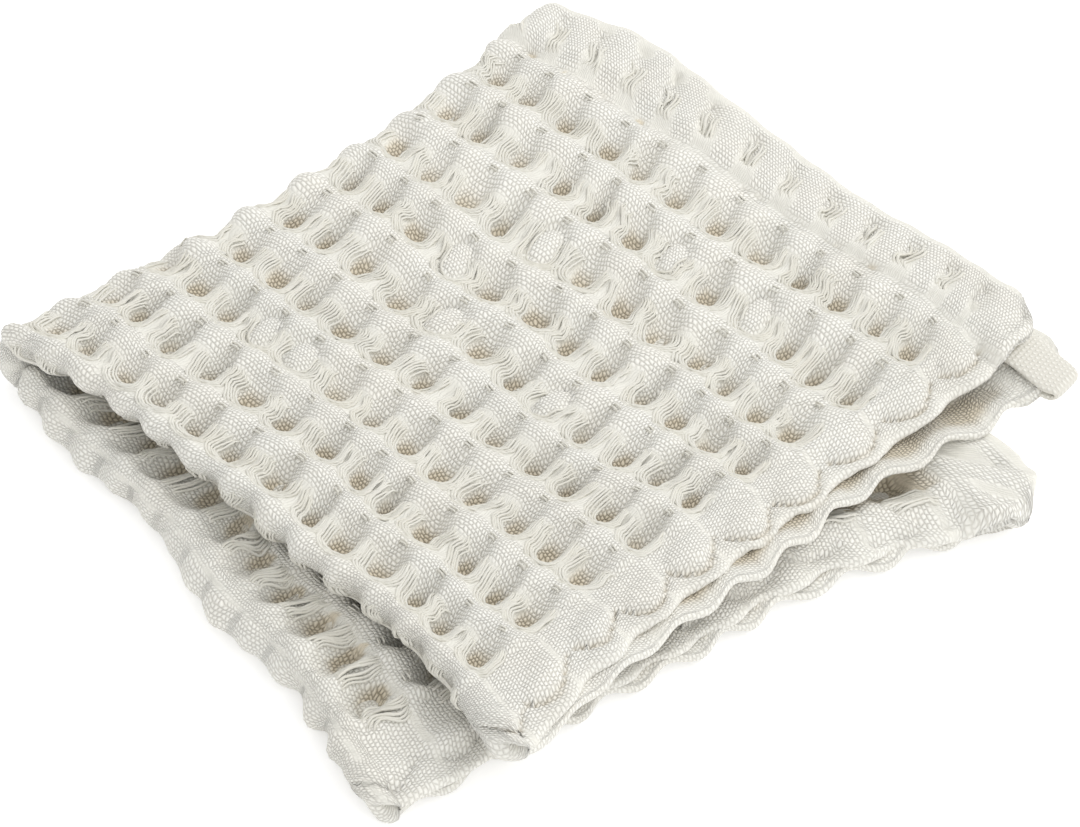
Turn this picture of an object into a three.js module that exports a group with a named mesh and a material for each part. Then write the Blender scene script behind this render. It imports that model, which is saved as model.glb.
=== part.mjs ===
// A small waffle-woven bath towel, folded once each way into four layers, with a tape hanging loop.
// Millimetres, +Z up. The lowest layer lies flat on z = 0.
//
// The cloth is one sheet. The first fold runs along X and lies on the -Y side, and it joins layers 1 and 2
// and layers 3 and 4. The second fold runs along Y and lies on the -X side, and it turns the doubled cloth
// over, so that layer 1 goes round into layer 4 and layer 2 into layer 3. The selvedges end up on the +X
// side and the hems on the +Y side. The lower pair of layers is skewed out towards -Y and +X.

import * as THREE from 'three';
import { mergeVertices } from 'three/addons/utils/BufferGeometryUtils.js';

// Driving dimensions
const clothLength = 334; // hem to hem, lying flat
const waffleThickness = 4; // depth of the waffle relief, one layer
const hemThickness = 4.6; // turned hem, one layer
const layerGap = 1; // air between two layers
const hemBand = 15; // width of the turned hem
const hemStep = 6.5; // width over which the waffle thickens into the hem
const edgeSoftness = 0.6; // thickness left at a hem's or selvedge's very edge, as a share
const waveHeight = 0.6; // soft rise and fall of the stack's top
const waveLength = 95; // its wavelength
const wavePhase = 2.9; // where along the stack the waves start, in radians
const cornerLift = 3.6; // rise of the top layer's hem corner over the loop
const loopWidth = 10; // width of the loop's tape
const loopTape = 1.2; // thickness of the tape, its edges turned in
const loopReach = 16.5; // how far the loop stands out past the top layer's selvedge
const loopTail = 13; // length of the loop hidden between the layers
const loopOpening = 1; // space between the tape's two legs at the tip
const loopBaseOpening = 0.3; // the same where the legs are sewn down
const loopInset = 10.5; // middle of the loop, measured in from the top layer's hem edge
const loopTilt = 8; // degrees that the loop leans with the step of the hem under it
const clearance = 0.45; // from the loop to the cloth's smooth surface, which leaves 0.3 over its facets

// Steps of the mesh
const legSteps = 16; // from the second fold to a selvedge
const acrossSteps = 15; // from the first fold to the hem band
const hemSteps = 4; // over the hem band
const secondFoldSteps = 12;
const firstFoldSteps = 8;
const loopTipSteps = 10;

// The two folds
const layerPitch = waffleThickness + layerGap;
const firstFoldRadius = layerPitch / 2;
const acrossSpan = (clothLength - Math.PI * firstFoldRadius) / 2; // from the first fold to a hem
const acrossStart = firstFoldRadius + waffleThickness / 2;
const hemEdge = acrossStart + acrossSpan;
const stackHeight = 3 * layerPitch + waffleThickness;
const foldCentre = stackHeight / 2; // X of the second fold's centre line where the fold is not drawn in

// Outline across the stack, from the first fold (across = 0) to the hem edge (across = 1).
// foldIn is how far the second fold is drawn in. layer1 to layer4 are the X of each layer's selvedge.
// lowerShift is how far the lower pair's selvedge end has slid towards -Y.
const acrossRows = [
  { across: 0.0, foldIn: -3.0, layer1: 149, layer2: 149, layer3: 137, layer4: 137, lowerShift: 20.5 },
  { across: 0.13, foldIn: 1.0, layer1: 146, layer2: 148, layer3: 141, layer4: 141, lowerShift: 20.5 },
  { across: 0.3, foldIn: 3.0, layer1: 145.5, layer2: 149, layer3: 145.5, layer4: 146.5, lowerShift: 22 },
  { across: 0.45, foldIn: 4.5, layer1: 146.5, layer2: 151, layer3: 150, layer4: 151.5, lowerShift: 25 },
  { across: 0.6, foldIn: 5.5, layer1: 148, layer2: 152, layer3: 154, layer4: 155.5, lowerShift: 28 },
  { across: 0.75, foldIn: 3.5, layer1: 150, layer2: 156.5, layer3: 161, layer4: 162, lowerShift: 31.5 },
  { across: 0.9, foldIn: 0.5, layer1: 152, layer2: 160.5, layer3: 172, layer4: 171, lowerShift: 34.5 },
  { across: 1.0, foldIn: -1.5, layer1: 150, layer2: 160, layer3: 178.5, layer4: 178.5, lowerShift: 35.5 },
];

// Outline along the stack, from the second fold (along = 0) to the selvedge (along = 1).
// foldIn is how far the upper pair's first fold is drawn in, and hemOut how far its hem edge stands out.
// lowerIn is how far the lower pair's first fold is drawn in from its own straight line.
const alongRows = [
  { along: 0.0, foldIn: -1.5, hemOut: 1.5, lowerIn: 0 },
  { along: 0.15, foldIn: 5.0, hemOut: 5.5, lowerIn: 0 },
  { along: 0.35, foldIn: 4.0, hemOut: 3.0, lowerIn: 3 },
  { along: 0.55, foldIn: 3.5, hemOut: 0, lowerIn: 1.5 },
  { along: 0.75, foldIn: 2.5, hemOut: -2.0, lowerIn: 2 },
  { along: 0.9, foldIn: 0, hemOut: -1.5, lowerIn: -0.5 },
  { along: 1.0, foldIn: -2.5, hemOut: -1.0, lowerIn: -2 },
];

// Shares of the face over which the waves fade in from the folds and out towards the hem.
const waveFade = { foldAlong: 0.15, foldAcross: 0.1, hemAcross: 0.85 };

// Shares along and across over which layer 1 rises to its lifted hem corner.
const cornerRise = { alongStart: 0.6, alongEnd: 0.88, acrossStart: 0.7, acrossEnd: 0.86 };

function smooth(from, to, value) {
  return THREE.MathUtils.smoothstep(value, from, to);
}

// One column of a table at a place between its rows, on a smooth curve through the rows.
function readTable(rows, key, column, place) {
  const last = rows.length - 1;
  let low = 0;
  while (low < last - 1 && place > rows[low + 1][key]) low += 1;
  const slopeAt = (row) => {
    const before = rows[Math.max(row - 1, 0)];
    const after = rows[Math.min(row + 1, last)];
    return (after[column] - before[column]) / (after[key] - before[key]);
  };
  const span = rows[low + 1][key] - rows[low][key];
  const t = (place - rows[low][key]) / span;
  const start = rows[low][column];
  const end = rows[low + 1][column];
  return start * (2 * t ** 3 - 3 * t ** 2 + 1) + end * (3 * t ** 2 - 2 * t ** 3)
    + span * slopeAt(low) * (t ** 3 - 2 * t ** 2 + t)
    + span * slopeAt(low + 1) * (t ** 3 - t ** 2);
}

const acrossValue = (column, across) => readTable(acrossRows, 'across', column, across);
const alongValue = (column, along) => readTable(alongRows, 'along', column, along);

// The hem band is thicker than the waffle, with a soft step between them.
function clothThickness(across) {
  const fromHem = (1 - across) * acrossSpan;
  const hemShare = 1 - smooth(hemBand - hemStep / 2, hemBand + hemStep / 2, fromHem);
  return THREE.MathUtils.lerp(waffleThickness, hemThickness, hemShare);
}

// Height of a layer's middle surface. Layer 4 lies flat, and the waves grow towards layer 1.
function layerHeight(layer, along, across) {
  const thickness = clothThickness(across);
  const flat = thickness / 2 + (4 - layer) * (thickness + layerGap);
  const turn = (2 * Math.PI * acrossSpan) / waveLength;
  const wave = Math.sin(turn * along + wavePhase) * Math.sin(turn * across);
  const corner = smooth(cornerRise.alongStart, cornerRise.alongEnd, along)
    * smooth(cornerRise.acrossStart, cornerRise.acrossEnd, across);
  const inside = smooth(0, waveFade.foldAlong, along) * smooth(0, waveFade.foldAcross, across)
    * (1 - smooth(waveFade.hemAcross, 1, across));
  const height = (waveHeight * (4 - layer)) / 3;
  const lift = layer === 1 ? cornerLift * corner : 0;
  return flat + height * wave * inside * (1 - corner) + lift;
}

// A point of a layer at a place along it and across it, shifted by rise straight up.
function layerPoint(layer, along, across, rise) {
  const foldLine = foldCentre + acrossValue('foldIn', across);
  const x = THREE.MathUtils.lerp(foldLine, acrossValue(`layer${layer}`, across), along);
  const upper = layer <= 2;
  const shift = upper ? 0 : along * acrossValue('lowerShift', across);
  const edge = upper ? along : 0; // the lower pair keeps the edges that it has at the second fold
  const folded = alongValue('foldIn', edge) + (upper ? 0 : alongValue('lowerIn', along));
  const start = acrossStart + folded;
  const end = hemEdge + alongValue('hemOut', edge);
  const y = THREE.MathUtils.lerp(start, end, across) - shift;
  return new THREE.Vector3(x, y, layerHeight(layer, along, across) + rise);
}

// The pair of layers that one side of the doubled cloth passes through, and which way its outside faces.
const outerSide = { upper: 1, lower: 4, outward: 1 };
const innerSide = { upper: 2, lower: 3, outward: -1 };

// A point on one side of the doubled cloth, offset towards the outside of the doubled cloth.
// station runs from the upper selvedge (leg 'upper', place 1) round the second fold to the lower selvedge.
function sidePoint(side, station, across, offset) {
  const rise = side.outward * offset;
  if (station.leg === 'upper') return layerPoint(side.upper, station.place, across, rise);
  if (station.leg === 'lower') return layerPoint(side.lower, station.place, across, -rise);
  const top = layerPoint(side.upper, 0, across, rise);
  const bottom = layerPoint(side.lower, 0, across, -rise);
  const angle = station.place * Math.PI;
  const radius = (top.z - bottom.z) / 2;
  return new THREE.Vector3(
    top.x - radius * Math.sin(angle),
    THREE.MathUtils.lerp(top.y, bottom.y, station.place),
    (top.z + bottom.z) / 2 + radius * Math.cos(angle),
  );
}

// A point of the sheet. Between the two sides the first fold is a half round that swells towards -Y.
function sheetPoint(station, column, offset) {
  if (column.side) return sidePoint(column.side, station, column.across, offset);
  const outer = sidePoint(outerSide, station, 0, offset);
  const inner = sidePoint(innerSide, station, 0, offset);
  const angle = column.turn * Math.PI;
  const point = outer.clone().add(inner).multiplyScalar(0.5);
  point.addScaledVector(outer.sub(inner), 0.5 * Math.cos(angle));
  point.y -= (firstFoldRadius + offset) * Math.sin(angle);
  return point;
}

// Stations along the cloth from the upper selvedge to the lower one.
function clothStations() {
  const stations = [];
  for (let i = legSteps; i >= 0; i -= 1) stations.push({ leg: 'upper', place: i / legSteps });
  for (let i = 1; i < secondFoldSteps; i += 1) stations.push({ leg: 'fold', place: i / secondFoldSteps });
  for (let i = 0; i <= legSteps; i += 1) stations.push({ leg: 'lower', place: i / legSteps });
  return stations;
}

// Columns over the cloth from the outer hem, round the first fold, to the inner hem.
function clothColumns() {
  const hemStart = 1 - hemBand / acrossSpan;
  const places = [];
  for (let i = 0; i < acrossSteps; i += 1) places.push((hemStart * i) / acrossSteps);
  for (let i = 0; i <= hemSteps; i += 1) places.push(hemStart + ((1 - hemStart) * i) / hemSteps);
  const columns = places.map((across) => ({ side: outerSide, across })).reverse();
  for (let i = 1; i < firstFoldSteps; i += 1) columns.push({ turn: i / firstFoldSteps });
  columns.push(...places.map((across) => ({ side: innerSide, across })));
  return columns;
}

function solidFrom(positions, triangles, material, name) {
  const geometry = new THREE.BufferGeometry();
  geometry.setAttribute('position', new THREE.Float32BufferAttribute(positions, 3));
  geometry.setIndex(triangles);
  geometry.computeVertexNormals();
  const mesh = new THREE.Mesh(geometry, material);
  mesh.name = name;
  return mesh;
}

// The towel: an outside skin and an inside skin over one grid, joined round the hems and selvedges.
function towelCloth() {
  const stations = clothStations();
  const columns = clothColumns();
  const rowLength = columns.length;
  const skinSize = stations.length * rowLength;
  const positions = [];
  for (const side of [1, -1]) {
    stations.forEach((station, row) => {
      columns.forEach((column, place) => {
        const atSelvedge = row === 0 || row === stations.length - 1;
        const atHem = place === 0 || place === rowLength - 1;
        const share = atSelvedge || atHem ? edgeSoftness : 1;
        const half = clothThickness(column.side ? column.across : 0) / 2;
        positions.push(...sheetPoint(station, column, side * half * share).toArray());
      });
    });
  }
  const triangles = [];
  const quad = (a, b, c, d) => triangles.push(a, b, c, a, c, d);
  for (let row = 0; row + 1 < stations.length; row += 1) {
    for (let place = 0; place + 1 < rowLength; place += 1) {
      const a = row * rowLength + place;
      quad(a, a + rowLength, a + rowLength + 1, a + 1);
      const b = a + skinSize;
      quad(b, b + 1, b + rowLength + 1, b + rowLength);
    }
  }
  const rim = (a, b) => quad(a, b, b + skinSize, a + skinSize);
  const lastRow = (stations.length - 1) * rowLength;
  for (let place = 0; place + 1 < rowLength; place += 1) {
    rim(place, place + 1);
    rim(lastRow + place + 1, lastRow + place);
  }
  for (let start = 0; start < lastRow; start += rowLength) {
    rim(start + rowLength, start);
    rim(start + rowLength - 1, start + 2 * rowLength - 1);
  }
  const cotton = new THREE.MeshStandardMaterial({ color: 0xe4e1d6, roughness: 0.95, metalness: 0 });
  return solidFrom(positions, triangles, cotton, 'towel_cloth');
}

// The loop: a tape doubled back on itself, its tip standing out past the selvedge, its legs on layer 2.
function hangingLoop() {
  const middle = 1 - loopInset / acrossSpan;
  const rootX = acrossValue('layer1', middle) - loopTail;
  const tipX = rootX + loopTail + loopReach;
  const along = (rootX - foldCentre) / (acrossValue('layer2', middle) - foldCentre);
  const tilt = THREE.MathUtils.degToRad(loopTilt);
  const halfWidth = loopWidth / 2;
  const seatUnder = (share) => {
    const across = middle + (share * halfWidth) / acrossSpan;
    const top = layerHeight(2, along, across) + clothThickness(across) / 2;
    return top - share * halfWidth * Math.tan(tilt);
  };
  const seat = clearance + Math.max(...[-1, -0.5, 0, 0.5, 1].map(seatUnder));
  const tipRadius = loopTape + loopOpening / 2;
  const tipHeight = seat + tipRadius;
  const tipCentre = tipX - tipRadius;
  const rootOuter = 2 * loopTape + loopBaseOpening;
  const outline = new THREE.Shape();
  outline.moveTo(rootX, seat);
  outline.lineTo(tipCentre, seat);
  outline.absarc(tipCentre, tipHeight, tipRadius, -Math.PI / 2, Math.PI / 2, false);
  outline.lineTo(rootX, seat + rootOuter);
  outline.lineTo(rootX, seat + rootOuter - loopTape);
  outline.lineTo(tipCentre, tipHeight + loopOpening / 2);
  outline.absarc(tipCentre, tipHeight, loopOpening / 2, Math.PI / 2, -Math.PI / 2, true);
  outline.lineTo(rootX, seat + loopTape);
  outline.closePath();
  let geometry = new THREE.ExtrudeGeometry(outline, {
    depth: loopWidth, steps: 1, bevelEnabled: false, curveSegments: loopTipSteps,
  });
  geometry.rotateX(Math.PI / 2);
  geometry.translate(0, halfWidth, -seat);
  geometry.rotateX(tilt);
  geometry.translate(0, THREE.MathUtils.lerp(acrossStart, hemEdge, middle), seat);
  geometry.deleteAttribute('normal');
  geometry.deleteAttribute('uv');
  geometry = mergeVertices(geometry);
  geometry.computeVertexNormals();
  const tape = new THREE.MeshStandardMaterial({ color: 0xe2ded2, roughness: 0.9, metalness: 0 });
  const mesh = new THREE.Mesh(geometry, tape);
  mesh.name = 'hanging_loop';
  return mesh;
}

// The origin is the middle of the object's box, at the surface that it lies on.
const towel = new THREE.Group();
towel.add(towelCloth(), hangingLoop());
const box = new THREE.Box3().setFromObject(towel);
const centre = box.getCenter(new THREE.Vector3());
for (const mesh of towel.children) mesh.geometry.translate(-centre.x, -centre.y, -box.min.z);

export default towel;
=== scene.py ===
from math import cos, pi, radians, sin
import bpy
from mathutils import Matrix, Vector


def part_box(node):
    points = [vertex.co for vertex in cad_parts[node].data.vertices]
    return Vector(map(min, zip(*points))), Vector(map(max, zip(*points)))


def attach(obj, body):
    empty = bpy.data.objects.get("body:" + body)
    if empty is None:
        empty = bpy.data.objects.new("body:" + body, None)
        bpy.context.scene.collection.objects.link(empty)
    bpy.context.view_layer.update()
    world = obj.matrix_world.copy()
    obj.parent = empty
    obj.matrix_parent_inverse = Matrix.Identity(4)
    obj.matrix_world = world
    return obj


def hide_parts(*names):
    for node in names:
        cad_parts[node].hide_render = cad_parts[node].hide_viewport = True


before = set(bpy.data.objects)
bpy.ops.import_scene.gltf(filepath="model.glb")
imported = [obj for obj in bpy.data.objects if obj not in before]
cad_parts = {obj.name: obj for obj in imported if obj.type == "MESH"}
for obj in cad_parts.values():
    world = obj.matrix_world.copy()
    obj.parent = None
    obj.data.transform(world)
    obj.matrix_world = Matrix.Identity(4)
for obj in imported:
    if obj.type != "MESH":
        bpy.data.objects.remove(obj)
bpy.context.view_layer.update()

from types import SimpleNamespace

import bpy
import numpy as np
from mathutils import Matrix, Vector

print("frame loaded")

# One cloth, folded once each way, in mm: x from the second fold to the selvedges, y from the first fold to
# the hems, z up. Two signed places say where on the cloth a point is:
#   along:  1 upper selvedge, 0 to -1 round the second fold, -2 lower selvedge
#   across: 1 outer hem, 0 to -1 round the first fold, -2 inner hem

towel = {
    "clothLength": 334,
    "clothWidth": 300,
    "waffleThickness": 4,
    "hemThickness": 4.6,
    "layerGap": 1,
    "hemBand": 15,
    "hemStep": 6.5,
    "waveHeight": 0.6,  # soft rise and fall of the stack's top
    "waveLength": 95,
    "wavePhase": 2.9,
    "cornerLift": 3.6,  # of the top layer's hem corner, over the loop
    "boxMiddle": (87.75, 74.913),
}

# From the first fold to the hem edge: how far the second fold is drawn in, x of each layer's selvedge, and
# how far the lower pair has slid forward.
acrossTable = {
    "at": [0, 0.13, 0.3, 0.45, 0.6, 0.75, 0.9, 1],
    "foldIn": [-3, 1, 3, 4.5, 5.5, 3.5, 0.5, -1.5],
    "layer1": [149, 146, 145.5, 146.5, 148, 150, 152, 150],
    "layer2": [149, 148, 149, 151, 152, 156.5, 160.5, 160],
    "layer3": [137, 141, 145.5, 150, 154, 161, 172, 178.5],
    "layer4": [137, 141, 146.5, 151.5, 155.5, 162, 171, 178.5],
    "lowerShift": [20.5, 20.5, 22, 25, 28, 31.5, 34.5, 35.5],
}

# From the second fold to the selvedge: how far the first fold is drawn in, how far the hem stands out, and
# how much further the lower pair's fold is drawn in.
alongTable = {
    "at": [0, 0.15, 0.35, 0.55, 0.75, 0.9, 1],
    "foldIn": [-1.5, 5, 4, 3.5, 2.5, 0, -2.5],
    "hemOut": [1.5, 5.5, 3, 0, -2, -1.5, -1],
    "lowerIn": [0, 0, 3, 1.5, 2, -0.5, -2],
}


# The soft step 3t^2 - 2t^3, from 0 at start to 1 at end.
def smooth(start, end, value):
    share = clamp((value - start) / (end - start))
    return share * share * (3 - 2 * share)


def lerp(first, second, share):
    return first + (second - first) * share


def clamp(value):
    return np.clip(value, 0, 1)


# A hump of height 1, exp(-(value / width)^2).
def hump(value, width):
    return np.exp(-(value / width) ** 2)


# A table's column at a place: a cubic curve whose slope at a row is that between its two neighbours.
def readTable(table, column, place):
    keys, values = np.array(table["at"]), np.array(table[column])
    last = len(keys) - 1
    rows = np.arange(last + 1)
    before, after = np.maximum(rows - 1, 0), np.minimum(rows + 1, last)
    slopes = (values[after] - values[before]) / (keys[after] - keys[before])
    place = clamp(place)
    low = np.clip(np.searchsorted(keys, place) - 1, 0, last - 1)
    span = keys[low + 1] - keys[low]
    t = (place - keys[low]) / span
    rise = values[low] * (2 * t**3 - 3 * t**2 + 1) + values[low + 1] * (3 * t**2 - 2 * t**3)
    return rise + span * (slopes[low] * (t**3 - 2 * t**2 + t) + slopes[low + 1] * (t**3 - t**2))


layerPitch = towel["waffleThickness"] + towel["layerGap"]
firstRadius = layerPitch / 2
acrossSpan = (towel["clothLength"] - pi * firstRadius) / 2
acrossStart = firstRadius + towel["waffleThickness"] / 2
hemEdge = acrossStart + acrossSpan
foldCentre = (3 * layerPitch + towel["waffleThickness"]) / 2


# A layer's height. Layer 4 lies flat, waves grow towards layer 1, and its hem corner is raised.
def layerHeight(layer, along, across):
    fromHem = (1 - across) * acrossSpan
    band, half = towel["hemBand"], towel["hemStep"] / 2
    hemShare = 1 - smooth(band - half, band + half, fromHem)
    thickness = lerp(towel["waffleThickness"], towel["hemThickness"], hemShare)
    turn = 2 * pi * acrossSpan / towel["waveLength"]
    wave = np.sin(turn * along + towel["wavePhase"]) * np.sin(turn * across)
    inside = smooth(0, 0.15, along) * smooth(0, 0.1, across) * (1 - smooth(0.85, 1, across))
    corner = smooth(0.6, 0.88, along) * smooth(0.7, 0.86, across)
    height = thickness / 2 + (4 - layer) * (thickness + towel["layerGap"])
    height = height + towel["waveHeight"] * (4 - layer) / 3 * wave * inside * (1 - corner)
    return height + (towel["cornerLift"] * corner if layer == 1 else 0)


# A point of a layer: x from fold line to selvedge, y from fold line to hem edge. The lower pair is skewed.
def layerPoint(layer, along, across, rise):
    foldLine = foldCentre + readTable(acrossTable, "foldIn", across)
    x = lerp(foldLine, readTable(acrossTable, f"layer{layer}", across), along)
    upper = layer <= 2
    edge = along if upper else np.zeros_like(along)
    start = acrossStart + readTable(alongTable, "foldIn", edge)
    if not upper:
        start = start + readTable(alongTable, "lowerIn", along)
    y = lerp(start, hemEdge + readTable(alongTable, "hemOut", edge), across)
    if not upper:
        y = y - along * readTable(acrossTable, "lowerShift", across)
    return np.stack([x, y, layerHeight(layer, along, across) + rise])


# One side of the doubled cloth: an upper layer, a half round at the second fold, and a lower layer.
def sidePoint(upper, lower, outward, along, across, offset):
    turn = clamp(-along)
    top = layerPoint(upper, np.maximum(along, 0), across, outward * offset)
    bottom = layerPoint(lower, np.maximum(-1 - along, 0), across, -outward * offset)
    radius = (top[2] - bottom[2]) / 2
    point = lerp(top, bottom, turn)
    point[0] -= radius * np.sin(turn * pi)
    point[2] = (top[2] + bottom[2]) / 2 + radius * np.cos(turn * pi)
    return point


# A point of the sheet, offset out of the doubled cloth. A half round at the first fold joins the two sides.
def sheetPoint(along, across, offset):
    along, across, offset = np.broadcast_arrays(along, across, offset)
    angle = clamp(-across) * pi
    outer = sidePoint(1, 4, 1, along, np.maximum(across, 0), offset)
    inner = sidePoint(2, 3, -1, along, np.maximum(-1 - across, 0), offset)
    point = (outer + inner) / 2 + (outer - inner) / 2 * np.cos(angle)
    point[1] -= (firstRadius + offset) * np.sin(angle)
    return point


# Metres in the part's frame, as rows of points.
def toPart(point):
    middle = towel["boxMiddle"]
    placed = np.stack([point[0] - middle[0], point[1] - middle[1], np.maximum(point[2], 0)], axis=-1)
    return placed / 1000


# The weave's lattice of hollows. Columns count from the outer hem line, 0, over the first fold to the inner
# hem, rows from the second fold, 0, to 13 at the upper selvedge band and -13 at the lower.
lattice = {
    "foldRows": 20,  # cloth in the second fold's turn, in mm
    "foldPitch": 10.2,
    "rowPitch": 10.8,
    "columnPitch": 16.5,
    "faceColumns": 9,
    "foldColumns": 1.25,  # in the first fold
    "upperRows": 13,
    "lowerRows": -13,
    "bandStart": (0.87, 0.955),  # of the lower selvedge band, at the fold and the hem
    "wobble": 0.06,
    "slant": (0.1, 0.34),  # of the hollows, near the fold and the hem
    "hemSlant": (0.85, 0.15),  # of the hem's bundles, at the second fold and the selvedge
    "seed": 11,
}

# Cells are counted by minus their column. This one lies on the first fold.
foldCell = -10

# y of the column lines, near the second fold, in the middle and near the selvedge.
columnLines = {
    "left": [3.3, 18.7, 34.2, 49.3, 65.5, 82.4, 99, 117.9, 136.2, 152.4],
    "middle": [7.4, 21.1, 35.1, 50.1, 64.6, 81.4, 98, 116.6, 135.2, 151.4],
    "right": [4.2, 19.4, 35.1, 51, 66.5, 81.4, 96.7, 113.9, 132.7, 149],
}

# x of the middle of each row of hollows, by the first fold, halfway and by the hem.
rowLines = {
    "at": [32, 87, 132],
    "near": [8.4, 17, 27.4, 37.6, 48.4, 59.8, 70.6, 80.9, 90.7, 100.9, 110.5, 119.5, 128.5],
    "half": [6.3, 16, 26.6, 38, 49.8, 61.5, 73.2, 84.3, 95, 105.4, 115, 124.2, 132.6],
    "far": [2.3, 12.6, 22.3, 34.2, 46.1, 57.9, 70, 82.3, 94, 105.6, 117, 127.5, 136.6],
}


# A soft uneven field between about -1 and 1: a sum of seven sine waves in seeded directions.
def unevenness(first, second, key, scale):
    random = np.random.default_rng(lattice["seed"] + key)
    total = 0
    for wave in range(7):
        heading, phase = random.uniform(0, 2 * pi, 2)
        length = scale * random.uniform(0.6, 1.5)
        total = total + np.sin((first * cos(heading) + second * sin(heading)) * length + phase)
    return total / 2.6


# One seeded number between -1 and 1 for each cell and key.
numberKeys = ("ridge floor width drift closed begin beginAll end endAll snake spread aside apart arch "
              "wave radius size height tone lean puff pillow eye groove").split()
cellNumbers = dict(zip(numberKeys, np.random.default_rng(lattice["seed"]).uniform(-1, 1, (24, 64, 64))))


def cellNumber(key, column, row):
    return cellNumbers[key][np.mod(column, 64).astype(int), np.mod(row, 64).astype(int)]


# The steps of a list of lines: number, width, and limits of a share. The end steps go on without limit.
def stepsOf(lines):
    last = len(lines) - 2
    for step in range(last + 1):
        yield step, lines[step + 1] - lines[step], 0 if step else -np.inf, np.inf if step == last else 1


# How many steps lie below a value, with shares of a step.
def countLines(lines, value):
    return sum(np.clip((value - lines[step]) / wide, low, high) for step, wide, low, high in stepsOf(lines))


# The other way round: the value at a count.
def lineValue(lines, count):
    steps = (np.clip(count - step, low, high) * wide for step, wide, low, high in stepsOf(lines))
    return sum(steps, lines[0])


def tableRows(table, labels, like):
    return [np.reshape(table[label], (-1,) + (1,) * np.ndim(like)) for label in labels]


# The column lines' y at a place along the face: a parabola through the left, middle and right ones.
def columnsAlong(along):
    share = clamp(along)
    left, middle, right = tableRows(columnLines, ("left", "middle", "right"), share)
    return left + (4 * middle - 3 * left - right) * share + (2 * left + 2 * right - 4 * middle) * share**2


def columnAt(y, along):
    return lattice["faceColumns"] - countLines(columnsAlong(along), y)


def columnY(column, along):
    return lineValue(columnsAlong(along), lattice["faceColumns"] - column)


def rowsAcross(y):
    near, half, far = tableRows(rowLines, ("near", "half", "far"), y)
    first, second, third = rowLines["at"]
    return near + (half - near) * clamp((y - first) / (second - first)) + (
        far - half) * clamp((y - second) / (third - second))


# Share of the face from the first fold to the hem edge, on outer and inner layers.
def faceShare(across):
    return np.where(across >= 0, across, np.maximum(-1 - across, 0))


# First and last y of the face at a place along it.
def faceEdges(along):
    share = clamp(along)
    foldIn, hemOut = [readTable(alongTable, column, share) for column in ("foldIn", "hemOut")]
    return acrossStart + foldIn, hemEdge + hemOut


# x of the upper layer's fold line, selvedge and rows, and the row at the second fold's start and end and at
# the lower selvedge.
def rowKnots(face, y):
    foldLine = foldCentre + readTable(acrossTable, "foldIn", face)
    edge = readTable(acrossTable, "layer1", face)
    rows = rowsAcross(y)
    foldStart = 0.5 + countLines(rows, foldLine)
    foldEnd = foldStart - lattice["foldRows"] / lattice["foldPitch"]
    lowerEdge = foldEnd + (lattice["lowerRows"] - foldEnd) / lerp(*lattice["bandStart"], face)
    return foldLine, edge, rows, foldStart, foldEnd, lowerEdge


def wobbled(column, row):
    size = lattice["wobble"]
    return column + size * unevenness(column, row, 1, 1.7), row + size * unevenness(column, row, 2, 1.7)


# How far the hollows and the hem's bundles lean sideways, in rows.
def leanAt(column, along):
    p = -column - np.floor(-column)
    fromHem = np.minimum(column, 2 * lattice["faceColumns"] + lattice["foldColumns"] - column)
    size = lerp(lattice["slant"][1], lattice["slant"][0], smooth(2.6, 4.6, fromHem))
    lean = size * (p - 0.35) * np.sqrt(np.sin(pi * p))
    hemSize = lerp(*lattice["hemSlant"], clamp(along))
    hem = np.maximum(-fromHem, 0)
    return np.where(fromHem < 0, hemSize * hem, lean)


# Column and row at a place of the cloth, with how many columns it lies past the hem line.
def latticeAt(along, across):
    share = np.maximum(along, 0)
    start, end = faceEdges(along)
    face = faceShare(across)
    y = lerp(start, end, face)
    outer, fold = columnAt(y, share), columnAt(start, share)
    turned = fold + clamp(-across) * lattice["foldColumns"]
    column = np.where(across > 0, outer, np.where(across < -1, turned + fold - outer, turned))
    foldLine, edge, rows, foldStart, foldEnd, lowerEdge = rowKnots(face, y)
    upper = 0.5 + countLines(rows, lerp(foldLine, edge, share))
    row = np.where(along >= 0, upper, foldStart + clamp(-along) * (foldEnd - foldStart))
    row = row + np.maximum(-1 - along, 0) * (lowerEdge - foldEnd)
    column, row = wobbled(column, row)
    return column, row + leanAt(column, along), -outer


# The other way round: the place of a column and row. Each pass corrects the outline's small bends.
def placeOf(column, row):
    along = np.full(np.shape(column), 0.5)
    for turn in range(4):
        straight = row - leanAt(column, along)
        plainColumn, plainRow = column, straight
        for step in range(3):
            movedColumn, movedRow = wobbled(plainColumn, plainRow)
            plainColumn, plainRow = plainColumn + column - movedColumn, plainRow + straight - movedRow
        share = np.maximum(along, 0)
        start, end = faceEdges(along)
        fold = columnAt(start, share)
        turned = fold + lattice["foldColumns"]
        outer = np.where(plainColumn <= fold, plainColumn, turned + fold - plainColumn)
        inFold = (plainColumn > fold) & (plainColumn < turned)
        face = np.where(inFold, 0, np.clip((columnY(outer, share) - start) / (end - start), 0, 1.04))
        past = np.where(inFold, (fold - plainColumn) / lattice["foldColumns"], -1 - face)
        across = np.where(plainColumn <= fold, face, past)
        foldLine, edge, rows, foldStart, foldEnd, lowerEdge = rowKnots(face, lerp(start, end, face))
        upper = (lineValue(rows, plainRow - 0.5) - foldLine) / (edge - foldLine)
        inTurn = (plainRow - foldStart) / (foldStart - foldEnd)
        lower = -1 - (foldEnd - plainRow) / (foldEnd - lowerEdge)
        along = np.where(plainRow >= foldStart, upper, np.where(plainRow >= foldEnd, inTurn, lower))
    return along, across


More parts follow.
